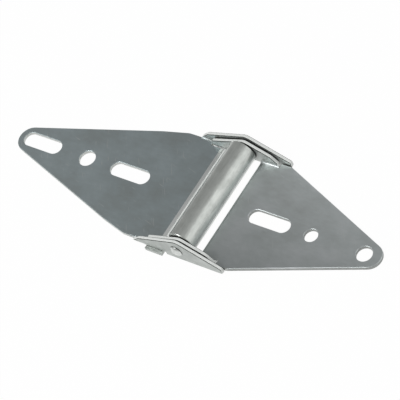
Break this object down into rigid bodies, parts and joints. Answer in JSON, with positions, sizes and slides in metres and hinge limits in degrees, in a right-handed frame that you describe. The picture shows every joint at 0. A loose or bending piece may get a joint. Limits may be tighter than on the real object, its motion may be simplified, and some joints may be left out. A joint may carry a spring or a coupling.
{
  "type": "garage door hinge",
  "caption": "Folding steel hinge for a sectional door: tapered leaves with slots and holes, bent ears, a barrel and a riveted pin.",
  "frame": {"origin": "under the middle of the hinge, on the plane of the leaves' backs, which lie on the door", "axes": "+X from the long leaf's tip to the short leaf's tip, +Y along the pin, +Z away from the door"},
  "size_m": [0.1918, 0.0614, 0.0127],
  "materials": {
    "leaf_a_steel": "zinc plated, mill surface",
    "leaf_b_steel": "zinc plated, mill surface",
    "barrel_steel": "zinc plated, smooth",
    "pin_steel": "zinc plated, hammered head"
  },
  "bodies": {
    "long_leaf": {"leaf_a": "leaf_a_steel", "hinge_pin": "pin_steel", "barrel_tube": "barrel_steel"},
    "short_leaf": {"leaf_b": "leaf_b_steel"}
  },
  "joints": [
    {"name": "fold", "type": "hinge", "parent": "long_leaf", "child": "short_leaf", "pos_m": [0.013, 0, 0.0064], "axis": [0, -1, 0], "range_deg": [0, 105]}
  ]
}
